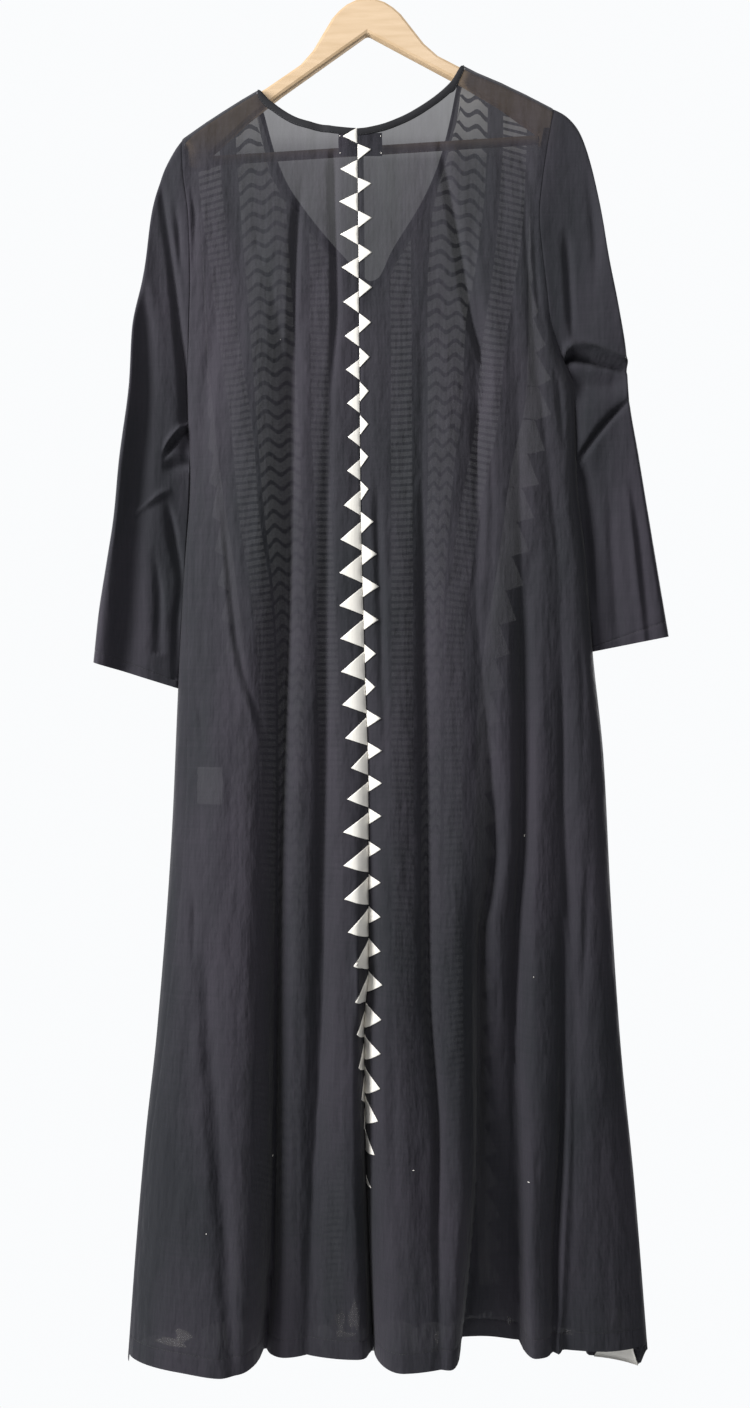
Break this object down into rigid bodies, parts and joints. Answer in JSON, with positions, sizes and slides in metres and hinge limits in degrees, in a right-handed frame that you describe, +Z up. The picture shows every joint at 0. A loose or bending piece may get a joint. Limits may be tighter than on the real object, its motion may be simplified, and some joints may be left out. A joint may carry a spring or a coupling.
{
  "type": "kaftan on a hanger",
  "caption": "Long black voile kaftan with cream cutwork bands, its back outwards, on a wooden suit hanger with a trouser bar.",
  "frame": {"origin": "inside top of the hanger's hook, where a rail carries it", "axes": "+Z up along the kaftan's length, +Y from its back to its front, and +X to the right of a viewer who faces its back"},
  "size_m": [0.648, 0.1317, 1.6367],
  "materials": {
    "black_voile": "matte, sheer",
    "cream_cotton": "matte",
    "pale_label": "satin",
    "beech": "satin",
    "steel": "polished"
  },
  "bodies": {
    "root": {"back_left": "black_voile", "back_right": "black_voile", "band_inner_left": "cream_cotton", "band_inner_right": "cream_cotton", "band_outer_left": "cream_cotton", "band_outer_right": "cream_cotton", "band_saw_left": "cream_cotton", "band_saw_right": "cream_cotton", "band_wave_left": "cream_cotton", "band_wave_right": "cream_cotton", "care_label": "pale_label", "front": "black_voile", "hanger_bar": "beech", "hanger_collar": "steel", "hanger_hook": "steel", "hanger_wood": "beech", "neck_binding_back": "black_voile", "neck_binding_front": "black_voile", "neck_label": "black_voile", "sawtooth_back_left": "cream_cotton", "sawtooth_back_right": "cream_cotton", "sleeve_left": "black_voile", "sleeve_right": "black_voile"}
  },
  "joints": []
}
